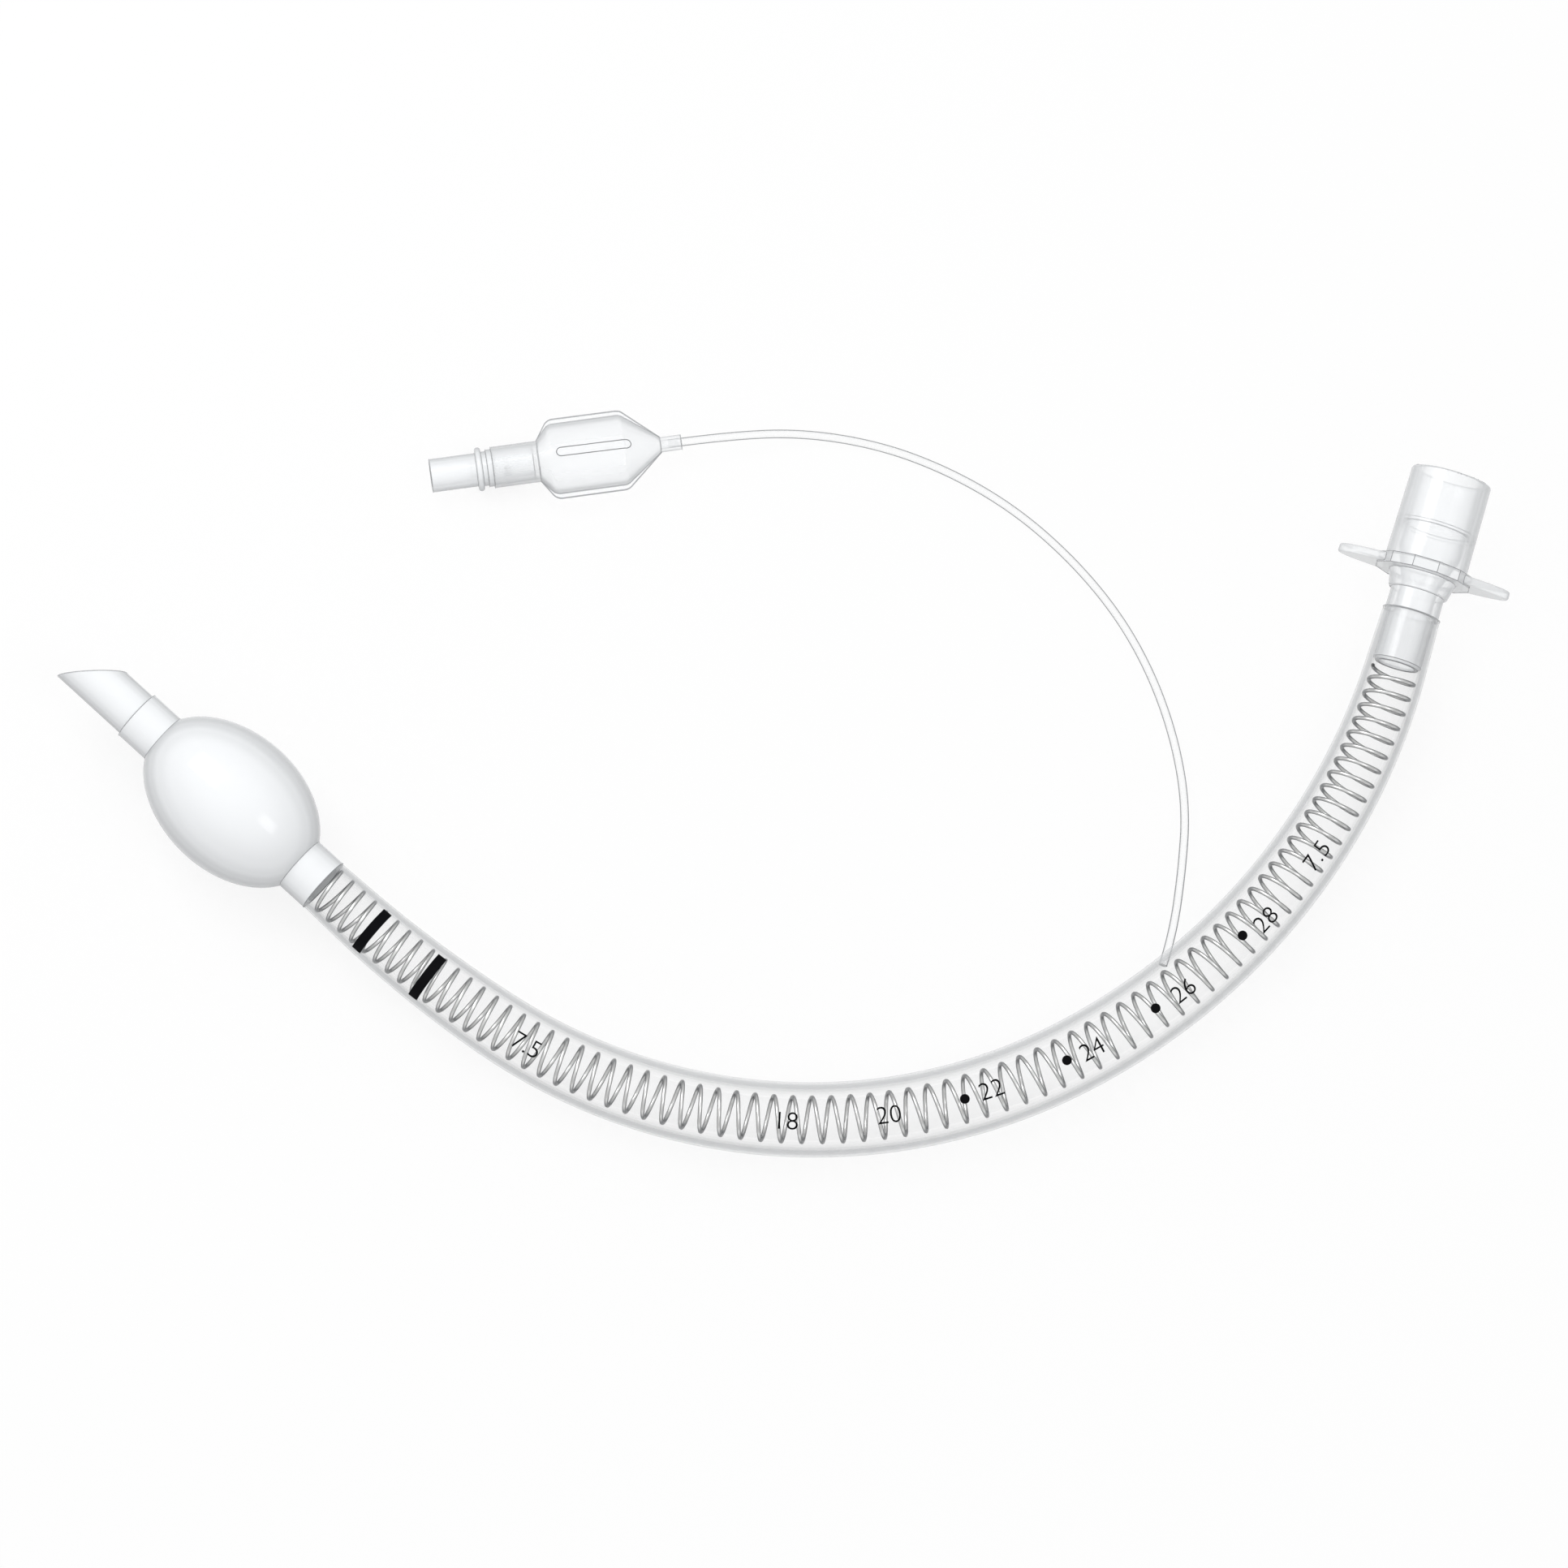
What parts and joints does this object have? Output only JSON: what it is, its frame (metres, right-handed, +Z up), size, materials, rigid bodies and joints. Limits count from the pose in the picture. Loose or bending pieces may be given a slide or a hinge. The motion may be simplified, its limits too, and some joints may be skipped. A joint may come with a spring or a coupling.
{
  "type": "endotracheal tube",
  "caption": "Cuffed, wire-reinforced breathing tube with a bevelled tip, a winged breathing connector and a pilot balloon with a spring valve on a thin line.",
  "frame": {"origin": "on the surface it lies on, under the middle of the bounding box of the tube with its cuff and connector", "axes": "+X from the bevelled tip towards the connector's side, +Y the way the connector points, +Z up"},
  "size_m": [0.2652, 0.1399, 0.0259],
  "materials": {
    "clear_tube": "clear, soft and smooth",
    "spring_wire": "bright drawn wire",
    "milky_tube": "milky and smooth",
    "cuff_film": "milky blown film with a soft sheen",
    "clear_connector": "clear moulded plastic",
    "line_tube": "clear thin tube",
    "balloon_film": "clear film",
    "valve_plastic": "milky moulded plastic",
    "valve_core": "white moulded plastic",
    "seal_rubber": "pale silicone rubber",
    "valve_spring": "bright drawn wire"
  },
  "bodies": {
    "tube": {"tube_shaft": "clear_tube", "shaft_collar": "clear_tube", "spiral_wire": "spring_wire", "bevel_tip": "milky_tube", "cuff": "cuff_film", "airway_connector": "clear_connector", "inflation_line": "line_tube", "pilot_balloon": "balloon_film", "valve_body": "valve_plastic", "valve_cage": "valve_core", "valve_spring": "valve_spring"},
    "valve_core": {"valve_poppet": "valve_core", "valve_seal": "seal_rubber"}
  },
  "joints": [
    {"name": "valve_slide", "type": "slide", "parent": "tube", "child": "valve_core", "axis": [0.9905, 0.1374, 0], "range_m": [0, 0.0012], "stiffness_N_per_m": 400, "springref_m": -0.001, "deforming": ["valve_spring"]}
  ]
}
